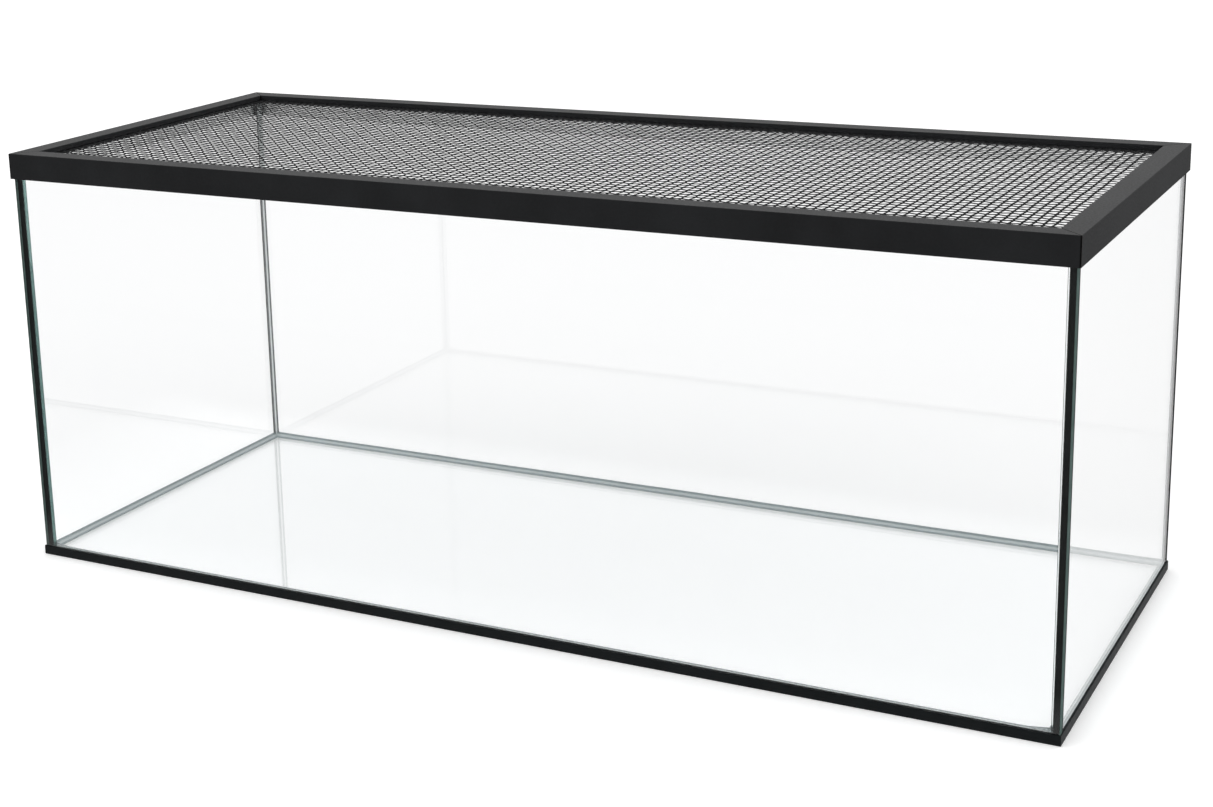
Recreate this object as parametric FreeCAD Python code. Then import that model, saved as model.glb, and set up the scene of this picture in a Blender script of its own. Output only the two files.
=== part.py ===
import FreeCAD, Part
import math
import os

# A glass terrarium: five panes bonded with silicone, and a lift-off lid, a mitred frame with a
# recessed mesh. Millimetres, +Z up, origin at the middle of the footprint on the ground, front at -Y.

# Tank
tank_width = 762.0
tank_depth = 305.0
wall_height = 297.0
glass_thickness = 5.0
glass_edge_chamfer = 0.4
joint_gap = 1.0
floor_bead_leg = 4.0
corner_bead_leg = 3.0
bead_edge_share = 0.15
bead_hollow_share = 0.42
bead_top_clearance = 1.5
trim_thickness = 0.8
trim_lap = 0.5

# Lid frame
rail_wall = 1.5
rail_height = 18.5
rail_edge_radius = 0.5
lid_clearance = 0.5
web_clearance = 1.5
channel_depth = 5.5
lip_drop = 2.1
mitre_gap = 0.5

# Mesh panel and what holds it
mesh_thickness = 1.0
mesh_strand = 2.5
mesh_edge_clearance = 0.3
mesh_gaps_along = 27
mesh_gaps_across = 10
spline_clearance = 0.3
spline_edge_share = 0.3
key_leg = 25.0
key_clearance = 0.2

# Soft strips on which the lid sits, each turned down inside the frame's skirt
seat_thickness = 1.5
seat_inset = 0.5
liner_thickness = 0.3
liner_hem = 0.3

# Heights
wall_base = glass_thickness + joint_gap
glass_top = wall_base + wall_height
trim_height = wall_base + trim_lap
flange_under = glass_top + seat_thickness
lid_top = flange_under + rail_wall
skirt_bottom = lid_top - rail_height
mesh_top = flange_under - lip_drop
mesh_bottom = mesh_top - mesh_thickness
ledge_bottom = mesh_bottom - rail_wall

# Distances inward from the outer glass face, negative outside it
lid_outer = -(lid_clearance + rail_wall)
web_outer = glass_thickness + web_clearance
web_inner = web_outer + rail_wall
rail_inner = web_inner + channel_depth
lip_outer = rail_inner - rail_wall
seat_inner = glass_thickness - seat_inset

up = FreeCAD.Vector(0, 0, 1)
origin = FreeCAD.Vector(0, 0, 0)

# Sides and corners in order, each a quarter turn about Z from the one before
sides = ["front", "right", "back", "left"]
corners = ["front_left", "front_right", "back_right", "back_left"]


def quarter_turns(names, name):
    """Degrees from the first of the names to this one."""
    return math.degrees(names.index(name) * math.pi / 2)


def line(start, end):
    return Part.LineSegment(start, end).toShape()


def arc(start, middle, end):
    return Part.Arc(start, middle, end).toShape()


def face_of(edges):
    return Part.Face(Part.Wire(edges))


def is_long(side):
    return side in ("front", "back")


def length_of(side):
    return tank_width if is_long(side) else tank_depth


def signs_of(corner):
    """On which side of the middle a corner lies, in X and in Y."""
    return 1 if corner.endswith("right") else -1, 1 if corner.startswith("back") else -1


def place_on_side(shape, side):
    """Move a shape, drawn along X with the outer glass face at y = 0, to its side of the tank."""
    across = tank_depth if is_long(side) else tank_width
    placed = shape.copy()
    placed.translate(FreeCAD.Vector(0, -across / 2, 0))
    placed.rotate(origin, up, quarter_turns(sides, side))
    return placed


def place_at_corner(shape, corner, inset):
    """Move a shape, drawn in the quarter x, y > 0, to a corner, inset from the outer glass faces."""
    side_x, side_y = signs_of(corner)
    placed = shape.copy()
    placed.rotate(origin, up, quarter_turns(corners, corner))
    corner_x = side_x * (tank_width / 2 - inset)
    corner_y = side_y * (tank_depth / 2 - inset)
    placed.translate(FreeCAD.Vector(corner_x, corner_y, 0))
    return placed


def side_bar(side, length, inward_from, inward_to, low, high):
    """A straight bar along a side, between two distances inward and two heights."""
    corner = FreeCAD.Vector(-length / 2, inward_from, low)
    bar = Part.makeBox(length, inward_to - inward_from, high - low, corner)
    return place_on_side(bar, side)


def mitre_block(length, inward_from, inward_to, low, high):
    """A block whose ends run in at 45 degrees; length is measured at inward_from."""
    half = length / 2
    run_in = inward_to - inward_from
    points = [
        FreeCAD.Vector(-half, inward_from, low),
        FreeCAD.Vector(half, inward_from, low),
        FreeCAD.Vector(half - run_in, inward_to, low),
        FreeCAD.Vector(run_in - half, inward_to, low),
    ]
    outline = Part.makePolygon(points + points[:1])
    return Part.Face(outline).extrude(FreeCAD.Vector(0, 0, high - low))


def pane(width, depth, height, corner):
    """A glass plate with its cut edges lightly seamed."""
    plate = Part.makeBox(width, depth, height, corner)
    return plate.makeChamfer(glass_edge_chamfer, plate.Edges)


def bottom_pane():
    corner = FreeCAD.Vector(-tank_width / 2, -tank_depth / 2, 0)
    return pane(tank_width, tank_depth, glass_thickness, corner)


def wall_pane(side):
    """Front and back run the full width; the two end panes stand between them."""
    length = length_of(side)
    if not is_long(side):
        length -= 2 * (glass_thickness + joint_gap)
    corner = FreeCAD.Vector(-length / 2, 0, wall_base)
    return place_on_side(pane(length, glass_thickness, wall_height, corner), side)


def corner_joint(corner):
    """Black silicone between the end of an end pane and the inner face of the front or back."""
    joint = Part.makeBox(glass_thickness, joint_gap, wall_height, FreeCAD.Vector(0, 0, wall_base))
    side_x, side_y = signs_of(corner)
    low_x = min(side_x * tank_width / 2, side_x * (tank_width / 2 - glass_thickness))
    inner_y = tank_depth / 2 - glass_thickness
    low_y = min(side_y * inner_y, side_y * (inner_y - joint_gap))
    joint.translate(FreeCAD.Vector(low_x, low_y, 0))
    return joint


def floor_joint(side):
    """Black silicone that beds a wall on the bottom pane."""
    length = length_of(side)
    if not is_long(side):
        length -= 2 * glass_thickness
    return side_bar(side, length, 0, glass_thickness, glass_thickness, wall_base)


def bead_edges(start, first, second, leg):
    """Edges of a bead's section: two legs from start, joined by a hollow curve."""
    edge = leg * bead_edge_share
    inner = start + (first + second) * (leg * bead_hollow_share)
    points = [
        start,
        start + first * leg,
        start + first * leg + second * edge,
        start + first * edge + second * leg,
        start + second * leg,
    ]
    return [
        line(points[0], points[1]),
        line(points[1], points[2]),
        arc(points[2], inner, points[3]),
        line(points[3], points[4]),
        line(points[4], points[0]),
    ]


def corner_bead(corner):
    """Clear silicone up an inside corner, ending just under the lid's web."""
    start = FreeCAD.Vector(0, 0, glass_thickness)
    inward = FreeCAD.Vector(1, 0, 0), FreeCAD.Vector(0, 1, 0)
    section = face_of(bead_edges(start, *inward, corner_bead_leg))
    bead_top = ledge_bottom - bead_top_clearance
    bead = section.extrude(FreeCAD.Vector(0, 0, bead_top - glass_thickness))
    return place_at_corner(bead, corner, glass_thickness)


def floor_bead(side, corner_beads):
    """Clear silicone along the foot of a wall, mitred, and cut round the corner beads."""
    length = length_of(side) - 2 * glass_thickness
    start = FreeCAD.Vector(-length / 2, glass_thickness, glass_thickness)
    section = face_of(bead_edges(start, FreeCAD.Vector(0, 1, 0), up, floor_bead_leg))
    bead = section.extrude(FreeCAD.Vector(length, 0, 0))
    top = glass_thickness + floor_bead_leg
    ends = mitre_block(length, glass_thickness, top, glass_thickness, top)
    bead = place_on_side(bead.common(ends), side)
    for corner_piece in corner_beads:
        bead = bead.cut(corner_piece)
    return bead.Solids[0]


def base_trim(side):
    """Thin black strip over the bottom pane's edge and the joint above it."""
    length = length_of(side)
    if is_long(side):
        length += 2 * trim_thickness
    return side_bar(side, length, -trim_thickness, 0, 0, trim_height)


def rail_section(start_x):
    """Section of the lid frame: skirt, flange, web, and a channel with a lip and a ledge round the mesh's edge."""
    def at(inward, height):
        return FreeCAD.Vector(start_x, inward, height)

    radius = rail_edge_radius
    bulge = radius * (1 - math.sqrt(2) / 2)
    corners_in_order = [
        at(rail_inner, mesh_top),
        at(lip_outer, mesh_top),
        at(lip_outer, flange_under),
        at(web_inner, flange_under),
        at(web_inner, mesh_bottom),
        at(rail_inner, mesh_bottom),
        at(rail_inner, ledge_bottom),
        at(web_outer, ledge_bottom),
        at(web_outer, flange_under),
        at(-lid_clearance, flange_under),
        at(-lid_clearance, skirt_bottom),
        at(lid_outer, skirt_bottom),
        at(lid_outer, lid_top - radius),
    ]
    outer_middle = at(lid_outer + bulge, lid_top - bulge)
    outer_end = at(lid_outer + radius, lid_top)
    inner_start = at(rail_inner - radius, lid_top)
    inner_middle = at(rail_inner - bulge, lid_top - bulge)
    inner_end = at(rail_inner, lid_top - radius)
    edges = [line(a, b) for a, b in zip(corners_in_order, corners_in_order[1:])]
    edges.append(arc(corners_in_order[-1], outer_middle, outer_end))
    edges.append(line(outer_end, inner_start))
    edges.append(arc(inner_start, inner_middle, inner_end))
    edges.append(line(inner_end, corners_in_order[0]))
    return face_of(edges)


def lid_rail(side):
    """One side of the lid frame, mitred at both ends."""
    length = length_of(side) - 2 * lid_outer
    bar = rail_section(-length / 2).extrude(FreeCAD.Vector(length, 0, 0))
    ends = mitre_block(length - mitre_gap, lid_outer, rail_inner, skirt_bottom, lid_top)
    return place_on_side(bar.common(ends), side)


def lid_corner_key(corner):
    """Angle piece inside the frame's channel, above the mesh, that joins two rails."""
    width = lip_outer - web_inner - 2 * key_clearance
    height = lip_drop - key_clearance
    low = FreeCAD.Vector(key_clearance, key_clearance, mesh_top)
    along_x = Part.makeBox(key_leg, width, height, low)
    along_y = Part.makeBox(width, key_leg, height, low)
    key = along_x.fuse(along_y).removeSplitter()
    return place_at_corner(key, corner, web_inner)


def rectangle(width, depth, middle_x, middle_y, height):
    low_x = middle_x - width / 2
    low_y = middle_y - depth / 2
    points = [
        FreeCAD.Vector(low_x, low_y, height),
        FreeCAD.Vector(low_x + width, low_y, height),
        FreeCAD.Vector(low_x + width, low_y + depth, height),
        FreeCAD.Vector(low_x, low_y + depth, height),
    ]
    return Part.makePolygon(points + points[:1])


def mesh_panel():
    """Flat net as one holed face; each of its gaps stands for about four by four of the fine cells."""
    margin = web_inner + mesh_edge_clearance
    outer = rectangle(tank_width - 2 * margin, tank_depth - 2 * margin, 0, 0, mesh_bottom)
    open_width = tank_width - 2 * rail_inner
    open_depth = tank_depth - 2 * rail_inner
    pitch_x = open_width / mesh_gaps_along
    pitch_y = open_depth / mesh_gaps_across
    gaps = []
    for column in range(mesh_gaps_along):
        middle_x = (column + 1 / 2) * pitch_x - open_width / 2
        for row in range(mesh_gaps_across):
            middle_y = (row + 1 / 2) * pitch_y - open_depth / 2
            gap = rectangle(pitch_x - mesh_strand, pitch_y - mesh_strand, middle_x, middle_y, mesh_bottom)
            gaps.append(gap)
    return Part.Face([outer] + gaps).extrude(FreeCAD.Vector(0, 0, mesh_thickness))


def mesh_spline(side):
    """Retaining strip wedged in the channel above the edge of the mesh, from one corner key to the next."""
    inward_from = web_inner + spline_clearance
    inward_to = lip_outer - spline_clearance
    length = length_of(side) - 2 * (web_inner + key_clearance + key_leg + spline_clearance)
    low = FreeCAD.Vector(-length / 2, inward_from, mesh_top)
    strip = Part.makeBox(length, inward_to - inward_from, lip_drop, low)
    long_edges = [edge for edge in strip.Edges if abs(edge.tangentAt(0).x) > 1 / 2]
    radius = lip_drop * spline_edge_share
    return place_on_side(strip.makeFillet(radius, long_edges), side)


def lid_seat_strip(side):
    """Soft angle strip: it rests on the top edge of a pane, and its thin leg lines the skirt."""
    length = length_of(side) + 2 * lid_clearance
    liner_inner = liner_thickness - lid_clearance
    liner_bottom = skirt_bottom + liner_hem
    places = [
        (-lid_clearance, flange_under),
        (seat_inner, flange_under),
        (seat_inner, glass_top),
        (liner_inner, glass_top),
        (liner_inner, liner_bottom),
        (-lid_clearance, liner_bottom),
    ]
    points = [FreeCAD.Vector(-length / 2, inward, height) for inward, height in places]
    section = Part.Face(Part.makePolygon(points + points[:1]))
    bar = section.extrude(FreeCAD.Vector(length, 0, 0))
    ends = mitre_block(length - mitre_gap, -lid_clearance, seat_inner, liner_bottom, flange_under)
    return place_on_side(bar.common(ends), side)


def write(name, shape):
    shape.exportStep("parts/" + name + ".step")


os.makedirs("parts", exist_ok=True)

write("bottom_pane", bottom_pane())
inner_beads = {corner: corner_bead(corner) for corner in corners}
for corner in corners:
    write("corner_joint_" + corner, corner_joint(corner))
    write("corner_bead_" + corner, inner_beads[corner])
    write("lid_corner_key_" + corner, lid_corner_key(corner))
for side in sides:
    write(side + "_pane", wall_pane(side))
    write("floor_joint_" + side, floor_joint(side))
    write("floor_bead_" + side, floor_bead(side, inner_beads.values()))
    write("base_trim_" + side, base_trim(side))
    write("lid_rail_" + side, lid_rail(side))
    write("mesh_spline_" + side, mesh_spline(side))
    write("lid_seat_strip_" + side, lid_seat_strip(side))
write("mesh_panel", mesh_panel())
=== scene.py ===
import math

import bpy
from mathutils import Euler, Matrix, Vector, noise


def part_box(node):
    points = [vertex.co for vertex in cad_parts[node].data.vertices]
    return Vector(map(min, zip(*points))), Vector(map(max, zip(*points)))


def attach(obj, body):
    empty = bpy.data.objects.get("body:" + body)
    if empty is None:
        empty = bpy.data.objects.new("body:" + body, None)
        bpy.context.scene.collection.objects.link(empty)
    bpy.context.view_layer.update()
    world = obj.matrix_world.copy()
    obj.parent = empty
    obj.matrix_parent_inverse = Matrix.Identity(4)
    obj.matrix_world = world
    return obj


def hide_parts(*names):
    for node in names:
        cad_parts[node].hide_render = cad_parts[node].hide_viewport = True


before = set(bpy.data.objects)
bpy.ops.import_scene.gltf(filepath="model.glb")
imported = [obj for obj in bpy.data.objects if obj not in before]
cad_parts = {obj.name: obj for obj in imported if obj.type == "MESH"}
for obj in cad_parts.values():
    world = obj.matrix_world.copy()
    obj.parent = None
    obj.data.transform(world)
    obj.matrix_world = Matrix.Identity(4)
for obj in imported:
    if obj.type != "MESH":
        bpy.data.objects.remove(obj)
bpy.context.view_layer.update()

MM = 0.001
RIGHT = Vector((1, 0, 0))
BACK = Vector((0, 1, 0))
UP = Vector((0, 0, 1))
SIDES = ("front", "right", "back", "left")
CORNERS = {"front_left": (-1, -1), "front_right": (1, -1), "back_right": (1, 1), "back_left": (-1, 1)}

# Sizes that the frame gives
side_low, side_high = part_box("right_pane")
front_low, front_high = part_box("front_pane")
mesh_low, mesh_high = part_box("mesh_panel")
front_rail_low, front_rail_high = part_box("lid_rail_front")
right_rail_low, right_rail_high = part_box("lid_rail_right")
floor_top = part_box("bottom_pane")[1].z
inner_x = side_low.x
inner_y = -front_high.y
outer_x = side_high.x
outer_y = -front_low.y
opening_x = right_rail_low.x
opening_y = -front_rail_high.y
lid_x = right_rail_high.x
lid_y = -front_rail_low.y


# Shader nodes

noise_middle = (0.3, 0.7)


def set_inputs(tree, node, inputs):
    """Links each named or numbered input to a socket, or sets it to a value."""
    for place, value in inputs.items():
        if isinstance(value, bpy.types.NodeSocket):
            tree.links.new(value, node.inputs[place])
        else:
            node.inputs[place].default_value = value


def add_node(tree, kind, inputs, **settings):
    """A new node of a kind, with its settings made first, because they decide which inputs it has."""
    node = tree.nodes.new(kind)
    for name, value in settings.items():
        setattr(node, name, value)
    set_inputs(tree, node, inputs)
    return node


def calculated(tree, operation, *values):
    """One operation on sockets and numbers."""
    return add_node(tree, "ShaderNodeMath", dict(enumerate(values)), operation=operation).outputs["Value"]


def mapped(tree, value, low, high, start=0.0, end=1.0):
    """Maps the range from start to end to the one from low to high, and stays between these two."""
    return add_node(tree, "ShaderNodeMapRange", {
        "Value": value, "From Min": start, "From Max": end, "To Min": low, "To Max": high}).outputs["Result"]


def mixed(tree, share, first, second, data_type="FLOAT"):
    """From the first number or colour to the second."""
    return add_node(tree, "ShaderNodeMix", {"Factor": share, "A": first, "B": second},
                    data_type=data_type).outputs["Result"]


def mixed_shaders(tree, share, first, second):
    return add_node(tree, "ShaderNodeMixShader", {0: share, 1: first, 2: second}).outputs["Shader"]


def place_on(tree, output="Object"):
    """The place on a surface in the object's own metres, or another output of the coordinates."""
    return tree.nodes.new("ShaderNodeTexCoord").outputs[output]


def parts_of(tree, vector):
    return add_node(tree, "ShaderNodeSeparateXYZ", {"Vector": vector}).outputs


def size_of(tree, vector):
    """The vector with each of its parts made positive."""
    return add_node(tree, "ShaderNodeVectorMath", {0: vector}, operation="ABSOLUTE").outputs["Vector"]


def noise_of(tree, scale, detail=2.0):
    """Noise over the object's own metres; nearly all of it lies in its middle range."""
    return add_node(tree, "ShaderNodeTexNoise", {
        "Vector": place_on(tree), "Scale": scale, "Detail": detail}).outputs["Fac"]


def two_tones(tree, value, dark, light):
    """From the dark tone to the light one over the middle range of a noise."""
    node = add_node(tree, "ShaderNodeValToRGB", {"Fac": value})
    for element, position, tone in zip(node.color_ramp.elements, noise_middle, (dark, light)):
        element.position = position
        element.color = (*tone, 1)
    return node.outputs["Color"]


def bump_of(tree, height, depth):
    return add_node(tree, "ShaderNodeBump", {"Height": height, "Distance": depth}).outputs["Normal"]


# Kinds of material

def new_material(name):
    """A node material, its tree and its Principled shader."""
    material = bpy.data.materials.new(name)
    material.use_nodes = True
    return material, material.node_tree, material.node_tree.nodes["Principled BSDF"]


def solid_material(name, dark, light, rough, shine, tone_scale, grain_scale, grain_depth, metallic=0.0):
    """A tone that wanders, a roughness that follows a finer noise, and a fine grain as bump."""
    material, tree, shader = new_material(name)
    set_inputs(tree, shader, {
        "Base Color": two_tones(tree, noise_of(tree, tone_scale, 4), dark, light),
        "Roughness": mapped(tree, noise_of(tree, grain_scale / 4, 3), *rough, *noise_middle),
        "Specular IOR Level": shine,
        "Metallic": metallic,
        "Normal": bump_of(tree, noise_of(tree, grain_scale), grain_depth),
    })
    return material


def with_rough_sides(material, extra):
    """Makes a coat rougher on its upright faces than on top."""
    tree = material.node_tree
    shader = tree.nodes["Principled BSDF"]
    added = mapped(tree, parts_of(tree, place_on(tree, "Normal"))["Z"], extra, 0)
    on_top = shader.inputs["Roughness"].links[0].from_socket
    set_inputs(tree, shader, {"Roughness": calculated(tree, "ADD", on_top, added)})


def with_mitre_shade_lines(material, offset, half_width):
    """Paints shade as a dark line over each corner, where |x| - |y| is the offset: the shade in the open
    mitre of the rails.
    """
    tree = material.node_tree
    shader = tree.nodes["Principled BSDF"]
    parts = parts_of(tree, size_of(tree, place_on(tree)))
    difference = calculated(tree, "SUBTRACT", parts["X"], parts["Y"])
    in_mitre_shade = calculated(tree, "COMPARE", difference, offset, half_width)
    coat = shader.inputs["Base Color"].links[0].from_socket
    set_inputs(tree, shader, {"Base Color": mixed(tree, in_mitre_shade, coat, (*mitre_shade_tone, 1), "RGBA")})


def clear_material(name, tint, ior, shine, rough, ripple_scale, ripple_depth, passed, clearness=1.0):
    """Clear glass or silicone. Lamps and soft light pass it, so that what stands behind it is lit."""
    material, tree, shader = new_material(name)
    set_inputs(tree, shader, {
        "Base Color": (*tint, 1),
        "Transmission Weight": clearness,
        "IOR": ior,
        "Specular IOR Level": shine,
        "Roughness": mapped(tree, noise_of(tree, ripple_scale * 2), *rough, *noise_middle),
        "Normal": bump_of(tree, noise_of(tree, ripple_scale, 1), ripple_depth),
    })
    through = add_node(tree, "ShaderNodeBsdfTransparent", {"Color": (*passed, 1)})
    rays = tree.nodes.new("ShaderNodeLightPath").outputs
    lighting = calculated(tree, "MAXIMUM", rays["Is Shadow Ray"], rays["Is Diffuse Ray"])
    surface = mixed_shaders(tree, lighting, shader.outputs["BSDF"], through.outputs["BSDF"])
    set_inputs(tree, tree.nodes["Material Output"], {"Surface": surface})
    return material


def float_glass(name):
    """Glass that is clear across a pane and tinted along it."""
    material = clear_material(
        name, tint=(1, 1, 1), ior=1.52, shine=0.2, rough=(0, 0.002), ripple_scale=5, ripple_depth=0.02 * MM,
        passed=(0.982, 0.990, 0.990))
    tree = material.node_tree
    body = add_node(tree, "ShaderNodeVolumeAbsorption", {"Color": (0.70, 0.77, 0.82, 1), "Density": 6.0})
    set_inputs(tree, tree.nodes["Material Output"], {"Volume": body.outputs["Volume"]})
    return material


def glass_with_ground_ends(name, end_tint):
    """Near its ends in X a pane shows its cut edge: ground, dull and dark."""
    material = float_glass(name)
    tree = material.node_tree
    clear = tree.nodes["Principled BSDF"].outputs["BSDF"]
    seen = clear.links[0].to_socket
    from_middle = calculated(tree, "ABSOLUTE", parts_of(tree, place_on(tree))["X"])
    beyond = calculated(tree, "GREATER_THAN", from_middle, outer_x - ground_depth)
    darker, lighter = [tuple(share * tone for tone in end_tint) for share in ground_tone_shares]
    ground = add_node(tree, "ShaderNodeBsdfPrincipled", {
        "Base Color": two_tones(tree, noise_of(tree, 150), darker, lighter),
        "Roughness": 0.9,
        "Specular IOR Level": 0.2,
        "Normal": bump_of(tree, noise_of(tree, 2500), 0.02 * MM),
    })
    tree.links.new(mixed_shaders(tree, beyond, clear, ground.outputs["BSDF"]), seen)
    return material


def bead_finish(name, tint, rim_shade_tint, passed=(0.90, 0.92, 0.92), clearness=1.0):
    """Clear silicone whose thin rims have a tint of their own, mostly dark: painted shade along the bead's
    edges.
    """
    material = clear_material(name, tint, ior=1.41, shine=0.3, rough=(0.10, 0.22), ripple_scale=120,
                              ripple_depth=0.15 * MM, passed=passed, clearness=clearness)
    tree = material.node_tree
    rim = add_node(tree, "ShaderNodeAttribute", {}, attribute_name="rim").outputs["Fac"]
    set_inputs(tree, tree.nodes["Principled BSDF"], {
        "Base Color": mixed(tree, rim, (*tint, 1), (*rim_shade_tint, 1), "RGBA")})
    return material


# Materials

# Painted shade in the open mitres of the rails: its tone and half its width
mitre_shade_tone = (0.001, 0.001, 0.001)
mitre_shade_half_width = 0.9 * MM
upright_rougher = 0.22
ground_depth = 0.42 * MM
ground_tone_shares = (0.85, 1.15)

powder_coat = solid_material(
    "powder_coat", dark=(0.0096, 0.0102, 0.0113), light=(0.0136, 0.0145, 0.0160), rough=(0.48, 0.58),
    shine=0.22, tone_scale=30, grain_scale=2600, grain_depth=0.03 * MM)
with_rough_sides(powder_coat, upright_rougher)
# Painted shade along the open mitres of the rails
with_mitre_shade_lines(powder_coat, lid_x - lid_y, mitre_shade_half_width)

edge_strip = solid_material(
    "edge_strip", dark=(0.0035, 0.0050, 0.0058), light=(0.0062, 0.0080, 0.0090), rough=(0.5, 0.6),
    shine=0.12, tone_scale=60, grain_scale=1500, grain_depth=0.03 * MM)
black_silicone = solid_material(
    "black_silicone", dark=(0.002, 0.003, 0.003), light=(0.004, 0.005, 0.005), rough=(0.35, 0.5),
    shine=0.1, tone_scale=90, grain_scale=500, grain_depth=0.08 * MM)
black_rubber = solid_material(
    "black_rubber", dark=(0.010, 0.010, 0.010), light=(0.018, 0.018, 0.018), rough=(0.55, 0.7),
    shine=0.3, tone_scale=120, grain_scale=1800, grain_depth=0.05 * MM)
foil_facing = solid_material(
    "foil_facing", dark=(0.86, 0.86, 0.855), light=(0.93, 0.93, 0.925), rough=(0.22, 0.34),
    shine=0.5, tone_scale=200, grain_scale=300, grain_depth=0.02 * MM, metallic=1.0)
key_plastic = solid_material(
    "key_plastic", dark=(0.012, 0.012, 0.012), light=(0.020, 0.020, 0.020), rough=(0.4, 0.5),
    shine=0.4, tone_scale=80, grain_scale=1200, grain_depth=0.03 * MM)
strand_metal = solid_material(
    "strand_metal", dark=(0.015, 0.0155, 0.016), light=(0.030, 0.031, 0.032), rough=(0.75, 0.90),
    shine=0.05, tone_scale=140, grain_scale=900, grain_depth=0.05 * MM)

plain_glass = float_glass("float_glass")
front_glass = glass_with_ground_ends("float_glass_green_ends", (0.075, 0.115, 0.105))
back_glass = glass_with_ground_ends("float_glass_dark_ends", (0.010, 0.012, 0.014))

# The dark rim tints of these bead finishes are painted shade along the beads' edges
milky_bead = bead_finish(
    "clear_silicone_milky", tint=(0.74, 0.80, 0.81), rim_shade_tint=(0.36, 0.42, 0.43), clearness=0.45)
lit_bead = bead_finish(
    "clear_silicone_lit", tint=(0.96, 0.98, 0.98), rim_shade_tint=(0.30, 0.34, 0.35), clearness=0.75)
clear_bead = bead_finish(
    "clear_silicone", tint=(0.96, 0.98, 0.98), rim_shade_tint=(0.94, 0.97, 0.97))
# Painted shade: near-black rims on a bead that lets little light through
shade_rimmed_bead = bead_finish(
    "clear_silicone_shade_rimmed", tint=(0.96, 0.98, 0.98), rim_shade_tint=(0.14, 0.15, 0.155),
    passed=(0.8, 0.84, 0.83), clearness=0.2)
# Painted shade: a dark grey body for the back right corner's clear bead
shaded_bead = bead_finish(
    "clear_silicone_shaded", tint=(0.18, 0.195, 0.21), rim_shade_tint=(0.12, 0.13, 0.14), passed=(0.8, 0.84, 0.83))
# Painted light: a teal body for the front left corner's clear bead, the light that the glass edge gives it,
# with rims of painted shade
edge_lit_bead = bead_finish(
    "clear_silicone_edge_lit", tint=(0.20, 0.32, 0.30), rim_shade_tint=(0.10, 0.18, 0.17), passed=(0.7, 0.8, 0.78))


# Shapes

def add_piece(name, body, vertices, faces, material, smooth=False):
    mesh = bpy.data.meshes.new(name)
    mesh.from_pydata([tuple(v) for v in vertices], [], faces)
    mesh.materials.append(material)
    mesh.polygons.foreach_set("use_smooth", [smooth] * len(mesh.polygons))
    mesh.update()
    piece = bpy.data.objects.new(name, mesh)
    bpy.context.scene.collection.objects.link(piece)
    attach(piece, body)
    return piece


def loft(rings, start=0):
    """Faces of a closed tube through rings of equally many points, with an end cap at each end."""
    count = len(rings[0])
    faces = []
    for ring in range(len(rings) - 1):
        base = start + ring * count
        for i in range(count):
            j = (i + 1) % count
            faces.append((base + i, base + j, base + count + j, base + count + i))
    faces.append(tuple(start + i for i in reversed(range(count))))
    last = start + (len(rings) - 1) * count
    faces.append(tuple(last + i for i in range(count)))
    return faces


seed_strides = (7.3, 1.9)


def wander(seed, place, scale):
    """A slow drift between about -1 and 1 along a place, the same on each run."""
    return noise.noise(Vector((place / scale, *(seed * stride for stride in seed_strides))))


# Woven mesh: flat strands that pass over and under each other

cells_along = 118
cells_across = 41
strand_half_thickness = 0.17 * MM
strand_edge_share = 0.72
crossing_swell = 0.10
strand_width_wander = 0.05
strand_width_wander_steps = 5
strand_drift_share = 0.11
strand_drift_length = 30 * MM
strand_seed_stride = 1.7
weave_rise = 0.20 * MM
samples_per_cell = 3

# Half the width of each run's strands, and how far their ends go on under the rails
STRANDS = {"lengthways": (1.27 * MM, 1.3 * MM), "crossways": (0.895 * MM, 4 * MM)}


def strand(path_point, across, half_width, steps, seed):
    """Rings of one flattened strand, a little wider at its crossings; path_point gives each ring's middle."""
    up = UP * strand_half_thickness
    rings = []
    for step in range(steps + 1):
        middle = path_point(step)
        swell = crossing_swell * math.cos(2 * math.pi * step / samples_per_cell)
        unevenness = strand_width_wander * wander(seed, step, strand_width_wander_steps)
        width = half_width * (1 + swell + unevenness)
        edge = across * width
        shoulder = across * width * strand_edge_share
        rings.append([middle - edge, middle - shoulder - up, middle + shoulder - up,
                      middle + edge, middle + shoulder + up, middle - shoulder + up])
    return rings


def weave(run, places, crossings, along, across, parity):
    """All strands of one run, at their places and across the places of the others, as one piece."""
    vertices, faces = [], []
    half_width, tuck = STRANDS[run]
    pitch = places[1] - places[0]
    cross_pitch = crossings[1] - crossings[0]
    steps = (len(crossings) - 1) * samples_per_cell
    middle_z = (mesh_low.z + mesh_high.z) / 2
    for index, place in enumerate(places):

        def path_point(step, index=index, place=place):
            crossing = step / samples_per_cell
            phase = math.cos(math.pi * crossing) * (1 if (index + parity) % 2 else -1)
            reach = crossings[0] + crossing * cross_pitch
            drift = strand_drift_share * pitch * wander(
                index * strand_seed_stride + parity, reach, strand_drift_length)
            return along * reach + across * (place + drift) + UP * (middle_z + weave_rise * phase)

        rings = strand(path_point, across, half_width, steps, index)
        first, last = rings[0], rings[-1]
        rings.insert(0, [p - along * tuck for p in first])
        rings.append([p + along * tuck for p in last])
        faces += loft(rings, len(vertices))
        for ring in rings:
            vertices += ring
    piece = add_piece("mesh_strands_" + run, "lid", vertices, faces, strand_metal)
    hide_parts("mesh_panel")


def woven_mesh():
    """Lengthways strands start at the opening's edge, crossways ones half a cell outside it."""
    pitch_x = 2 * opening_x / cells_along
    pitch_y = 2 * opening_y / cells_across
    rows = [index * pitch_y - opening_y for index in range(cells_across + 1)]
    columns = [(index - 0.5) * pitch_x - opening_x for index in range(cells_along + 2)]
    weave("lengthways", rows, columns, RIGHT, BACK, 0)
    weave("crossways", columns, rows, BACK, RIGHT, 1)


# Silicone

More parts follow.
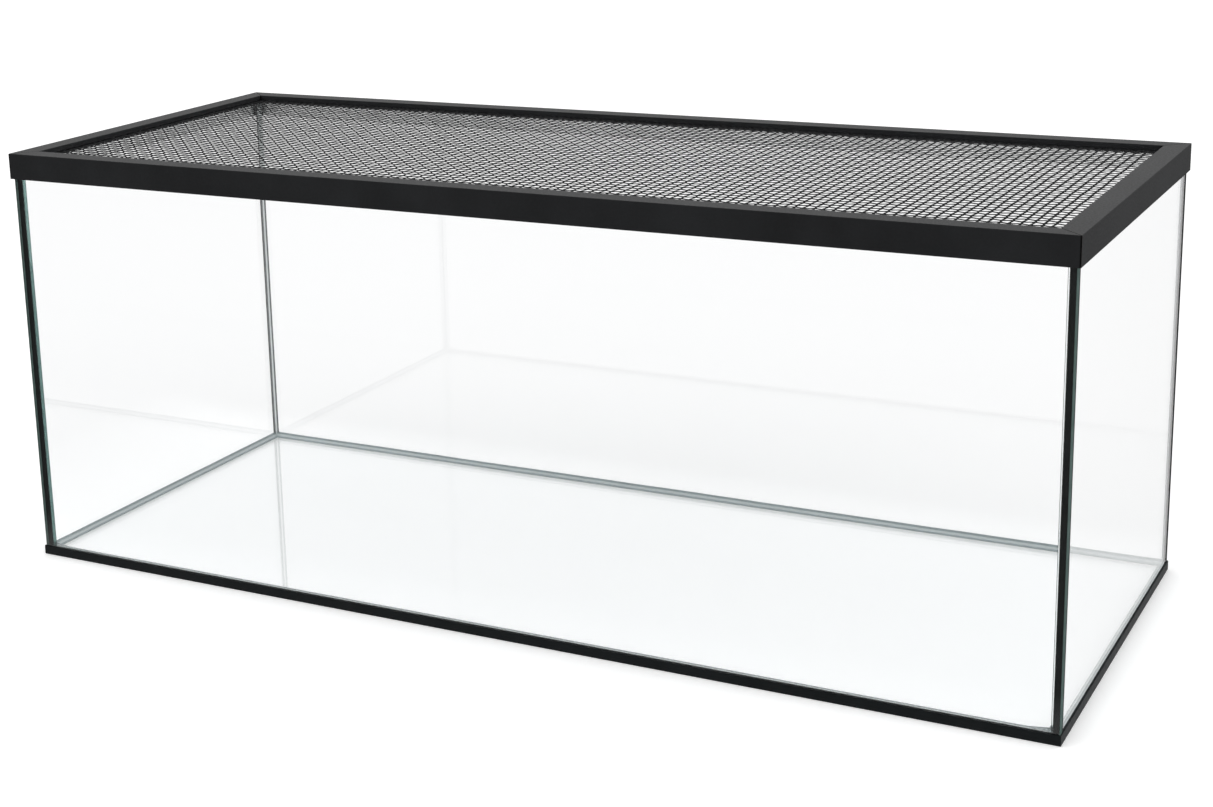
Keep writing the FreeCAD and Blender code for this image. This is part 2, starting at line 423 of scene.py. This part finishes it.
contact = 0.05 * MM
silicone_step = 7 * MM
bead_curve_points = 6
bead_edge_share = 0.15
bead_ridge_share = 0.9
bead_leg_share = 0.94
bead_hollow_share = 0.42
bead_wander = 0.05
bead_end_reach = 9 * MM
usual_end_swell = 0.06
first_floor_seed = 11
joint_rounding_share = 0.2

# For each part of a bead's section, what its seed adds and how slowly it wanders
leg_one_wander = (0, 50 * MM)
leg_two_wander = (3.1, 40 * MM)
hollow_wander = (5.7, 20 * MM)

# Each corner's bead: its finish, which paints light and shade on most of them, and how much of the seam's
# full leg it fills
CORNER_BEADS = {"front_left": (edge_lit_bead, 1.0), "front_right": (clear_bead, 0.4),
                "back_right": (shaded_bead, 0.7), "back_left": (shade_rimmed_bead, 1.0)}
rim_width = 4
corner_rim_height_share = 0.75

# Each floor bead's finish, its share of the full leg, and how much fuller its ends are
FLOOR_BEADS = {"front": (lit_bead, 0.6, 0.8), "right": (milky_bead, 1.0, usual_end_swell),
               "back": (milky_bead, 1.0, usual_end_swell), "left": (milky_bead, 1.0, usual_end_swell)}

# Each floor seam: the way that it runs, with the wall on its right, and half its length
FLOOR_SEAMS = {"front": (RIGHT, inner_x), "right": (BACK, inner_y),
               "back": (-RIGHT, inner_x), "left": (-BACK, inner_y)}

# Section of a joint: each point's side in both directions, and in which of them it is cut back
JOINT_OUTLINE = ((-1, -1, 0, 1), (-1, -1, 1, 0), (1, -1, 1, 0), (1, -1, 0, 1),
                 (1, 1, 0, 1), (1, 1, 1, 0), (-1, 1, 1, 0), (-1, 1, 0, 1))


def uneven(share, seed, place, pattern):
    """A share that wanders a little along a bead."""
    seed_shift, slowness = pattern
    return share + bead_wander * wander(seed + seed_shift, place, slowness)


def bead_ring(start, first, second, seed, place, leg, edge):
    """Section of a bead at one place: two legs that wander a little, and a hollow face."""
    leg_one = leg * uneven(bead_leg_share, seed, place, leg_one_wander)
    leg_two = leg * uneven(bead_leg_share, seed, place, leg_two_wander)
    origin = start - first * contact - second * contact
    ridge = edge * bead_ridge_share
    points = [origin, start + first * leg_one - second * contact,
              start + first * (leg_one - ridge / 4) + second * edge]
    first_end = Vector((leg_one - ridge, edge + ridge / 4))
    last_end = Vector((edge + ridge / 4, leg_two - ridge))
    middle = Vector((leg_one, leg_two)) * uneven(bead_hollow_share, seed, place, hollow_wander)
    pull = middle * 2 - (first_end + last_end) / 2
    for i in range(bead_curve_points + 1):
        t = i / bead_curve_points
        at = first_end * (1 - t) ** 2 + pull * 2 * t * (1 - t) + last_end * t ** 2
        points.append(start + first * at.x + second * at.y)
    points.append(start + second * (leg_two - ridge / 4) + first * edge)
    points.append(start + second * leg_two - first * contact)
    return points


def mark_rims(piece, ring_size, ring_distance, rim_end):
    """Marks the first and last few points of each ring's face, where the bead runs out thin on its legs and
    takes its painted shade.
    """
    rim_points = [*range(1, rim_width + 1), *range(ring_size - rim_width, ring_size)]
    marks = [float(i % ring_size in rim_points and ring_distance * (i // ring_size) < rim_end)
             for i in range(len(piece.data.vertices))]
    piece.data.attributes.new("rim", "FLOAT", "POINT").data.foreach_set("value", marks)


def bead(node, start, along, length, first, second, leg, seed, material, end_swell, rim_end=math.inf):
    """A bead laid from start along a seam, fuller at its ends by a share; its rims of painted shade stop at
    rim_end.
    """
    edge = leg * bead_edge_share
    steps = round(length / silicone_step)
    rings = []
    for step in range(steps + 1):
        place = length * step / steps
        near_end = min(place, length - place)
        swell = 1 + end_swell * math.exp(-(near_end / bead_end_reach) ** 2)
        rings.append(bead_ring(start + along * place, first, second, seed, place, leg * swell, edge))
    vertices = [p for ring in rings for p in ring]
    piece = add_piece(node + "_laid", "tank", vertices, loft(rings), material, True)
    mark_rims(piece, len(rings[0]), length / steps, rim_end)
    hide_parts(node)


def silicone_beads():
    """The corner beads, laid upward, and the floor beads, laid along the foot of each wall."""
    bead_low, bead_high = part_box("corner_bead_front_left")
    corner_leg = bead_high.x - bead_low.x
    corner_height = bead_high.z - floor_top
    for seed, (corner, (side_x, side_y)) in enumerate(CORNERS.items()):
        start = Vector((side_x * inner_x, side_y * inner_y, floor_top))
        material, leg_share = CORNER_BEADS[corner]
        bead("corner_bead_" + corner, start, UP, corner_height, RIGHT * -side_x, BACK * -side_y,
             corner_leg * leg_share, seed, material, usual_end_swell, corner_rim_height_share * corner_height)
    floor_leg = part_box("floor_bead_front")[1].z - floor_top
    for seed, (side, (along, half_length)) in enumerate(FLOOR_SEAMS.items(), first_floor_seed):
        inward = UP.cross(along)
        corner = -along - inward
        start = Vector((corner.x * inner_x, corner.y * inner_y, floor_top))
        material, leg_share, end_swell = FLOOR_BEADS[side]
        bead("floor_bead_" + side, start, along, 2 * half_length, inward, UP,
             floor_leg * leg_share, seed, material, end_swell)


def joint_bar(node, grow):
    """A black silicone joint: its node's box, pressed a little into the glass it wets."""
    low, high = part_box(node)
    low, high = low - grow, high + grow
    size = high - low
    axis = max(range(3), key=lambda i: size[i])
    a, b = [i for i in range(3) if i != axis]
    half_a, half_b = size[a] / 2, size[b] / 2
    steps = round(size[axis] / silicone_step)
    round_off = min(size[a], size[b]) * joint_rounding_share
    rings = []
    for step in range(steps + 1):
        ring = []
        for sign_a, sign_b, cut_a, cut_b in JOINT_OUTLINE:
            point = Vector((0, 0, 0))
            point[axis] = low[axis] + size[axis] * step / steps
            point[a] = low[a] + half_a + sign_a * (half_a - cut_a * round_off)
            point[b] = low[b] + half_b + sign_b * (half_b - cut_b * round_off)
            ring.append(point)
        rings.append(ring)
    vertices = [p for ring in rings for p in ring]
    piece = add_piece(node + "_bonded", "tank", vertices, loft(rings), black_silicone)
    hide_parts(node)


def silicone_joints():
    for corner in CORNERS:
        joint_bar("corner_joint_" + corner, Vector((0, contact, 0)))
    for side in SIDES:
        joint_bar("floor_joint_" + side, Vector((0, 0, contact)))


# CAD nodes that keep their shape

def finishes():
    """The material of each node that keeps its shape."""
    chosen = {"bottom_pane": plain_glass, "right_pane": plain_glass, "left_pane": plain_glass,
              "front_pane": front_glass, "back_pane": back_glass}
    for side in SIDES:
        chosen["base_trim_" + side] = edge_strip
        chosen["lid_rail_" + side] = powder_coat
        chosen["mesh_spline_" + side] = black_rubber
        chosen["lid_seat_strip_" + side] = foil_facing
    for corner in CORNERS:
        chosen["lid_corner_key_" + corner] = key_plastic
    return chosen


def dress_nodes():
    for name, material in finishes().items():
        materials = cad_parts[name].data.materials
        materials.clear()
        materials.append(material)


# Stage

floor_half = 12.0
floor_drop = 0.3 * MM
floor_tone = (0.8, 0.8, 0.8)

# What shows of the floor's own light and shadow, and the light added to it so that it comes out white
shadow_level_seen = 1.15
shadow_level_through_glass = 0.62
glow_seen = 0.04
glow_under_tank = 0.535
glow_behind_tank = 0.40
behind_tank = 1.5

# What a surface mirrors: a dark room in front of the tank, a white one behind it
dark_room = 0.15
mirrored_floor = 0.86
mirrored_floor_from = -0.225
mirrored_floor_full = -0.160
mirrored_wall = 0.92
mirrored_wall_from = -0.4
mirrored_wall_full = 0.1

# The white surround: as seen, through glass, and as the light that it gives
surround_seen = 1.0
surround_through_glass = 0.955
surround_light = 0.9

# Each lamp: where it stands, where it points, its size and its power
LAMPS = {
    "left_soft": ((-3.2, -2.2, 1.9), (0, 0, 0.1), (2.4, 1.8), 30),
    "right_soft": ((3.2, -1.6, 2.2), (0, 0, 0.1), (2.4, 1.8), 24),
    "overhead": ((0, 0.4, 4.0), (0, 0, 0), (3.0, 2.4), 6),
}


def mirrored_ray(tree, rays):
    """1 for a ray that a surface has just mirrored, 0 for one that has just passed glass."""
    return calculated(tree, "SUBTRACT", rays["Is Glossy Ray"], rays["Is Transmission Ray"])


def floor_material():
    """A pale floor that keeps a faint shadow, whether it is seen plainly or through glass."""
    material, tree, principled = new_material("studio_floor")
    tree.nodes.remove(principled)
    rays = tree.nodes.new("ShaderNodeLightPath").outputs
    place = place_on(tree)
    plain = add_node(tree, "ShaderNodeBsdfDiffuse", {"Color": (*floor_tone, 1)}).outputs["BSDF"]

    in_tanks = add_node(tree, "ShaderNodeVectorMath", {
        0: size_of(tree, place), 1: (1 / outer_x, 1 / outer_y, 0)}, operation="MULTIPLY").outputs["Vector"]
    both_ways = parts_of(tree, in_tanks)
    distance = calculated(tree, "MAXIMUM", both_ways["X"], both_ways["Y"])
    through_glass = mapped(tree, distance, glow_under_tank, glow_behind_tank, 1, behind_tank)
    shadow_level = mapped(tree, rays["Is Camera Ray"], shadow_level_through_glass, shadow_level_seen)
    shadowed = add_node(tree, "ShaderNodeBsdfDiffuse", {"Color": shadow_level}).outputs["BSDF"]
    glow = add_node(tree, "ShaderNodeEmission", {
        "Strength": mixed(tree, rays["Is Camera Ray"], through_glass, glow_seen)}).outputs["Emission"]
    shown = add_node(tree, "ShaderNodeAddShader", {0: shadowed, 1: glow}).outputs["Shader"]

    seen_ray = calculated(tree, "MAXIMUM", rays["Is Camera Ray"], rays["Is Transmission Ray"])
    floor = mixed_shaders(tree, seen_ray, plain, shown)
    mirrored = add_node(tree, "ShaderNodeEmission", {
        "Strength": mapped(tree, parts_of(tree, place)["Y"], dark_room, mirrored_floor,
                           mirrored_floor_from, mirrored_floor_full)}).outputs["Emission"]
    surface = mixed_shaders(tree, mirrored_ray(tree, rays), floor, mirrored)
    set_inputs(tree, tree.nodes["Material Output"], {"Surface": surface})
    return material


def studio_floor():
    mesh = bpy.data.meshes.new("studio_floor")
    corners = [(floor_half * x, floor_half * y, -floor_drop) for x, y in CORNERS.values()]
    mesh.from_pydata(corners, [], [(0, 1, 2, 3)])
    mesh.materials.append(floor_material())
    floor = bpy.data.objects.new("studio_floor", mesh)
    bpy.context.scene.collection.objects.link(floor)


def studio_world():
    world = bpy.data.worlds.new("studio_world")
    bpy.context.scene.world = world
    world.use_nodes = True
    tree = world.node_tree
    rays = tree.nodes.new("ShaderNodeLightPath").outputs
    plain = mapped(tree, rays["Is Camera Ray"], surround_light, surround_seen)
    unmirrored = mixed(tree, rays["Is Transmission Ray"], plain, surround_through_glass)
    mirrored = mapped(tree, parts_of(tree, place_on(tree, "Generated"))["Y"], dark_room, mirrored_wall,
                      mirrored_wall_from, mirrored_wall_full)
    set_inputs(tree, tree.nodes["Background"], {
        "Color": (1, 1, 1, 1),
        "Strength": mixed(tree, mirrored_ray(tree, rays), unmirrored, mirrored),
    })


def lamps():
    for name, (place, aim, size, power) in LAMPS.items():
        data = bpy.data.lights.new(name, "AREA")
        data.shape = "RECTANGLE"
        data.size, data.size_y = size
        data.energy = power
        lamp = bpy.data.objects.new(name, data)
        lamp.location = place
        lamp.rotation_euler = (Vector(aim) - Vector(place)).to_track_quat("-Z", "Y").to_euler()
        lamp.visible_transmission = False
        bpy.context.scene.collection.objects.link(lamp)


# Camera, from the corners of the object in the photograph

camera_place = (0.6404, -1.2809, 0.5594)
camera_turn_degrees = (76.004, 1.637, 28.264)
camera_lens = 61.764
camera_sensor_width = 36
camera_shift = (0.08, -0.09)
camera_clip = (0.01, 100)


def camera():
    data = bpy.data.cameras.new("camera")
    data.sensor_width = camera_sensor_width
    data.lens = camera_lens
    data.shift_x, data.shift_y = camera_shift
    data.clip_start, data.clip_end = camera_clip
    holder = bpy.data.objects.new("camera", data)
    holder.location = camera_place
    holder.rotation_euler = Euler([math.radians(a) for a in camera_turn_degrees])
    bpy.context.scene.collection.objects.link(holder)
    bpy.context.scene.camera = holder


camera()
lamps()
studio_floor()
studio_world()
dress_nodes()
silicone_joints()
silicone_beads()
woven_mesh()

bpy.context.scene.view_settings.view_transform = "Standard"
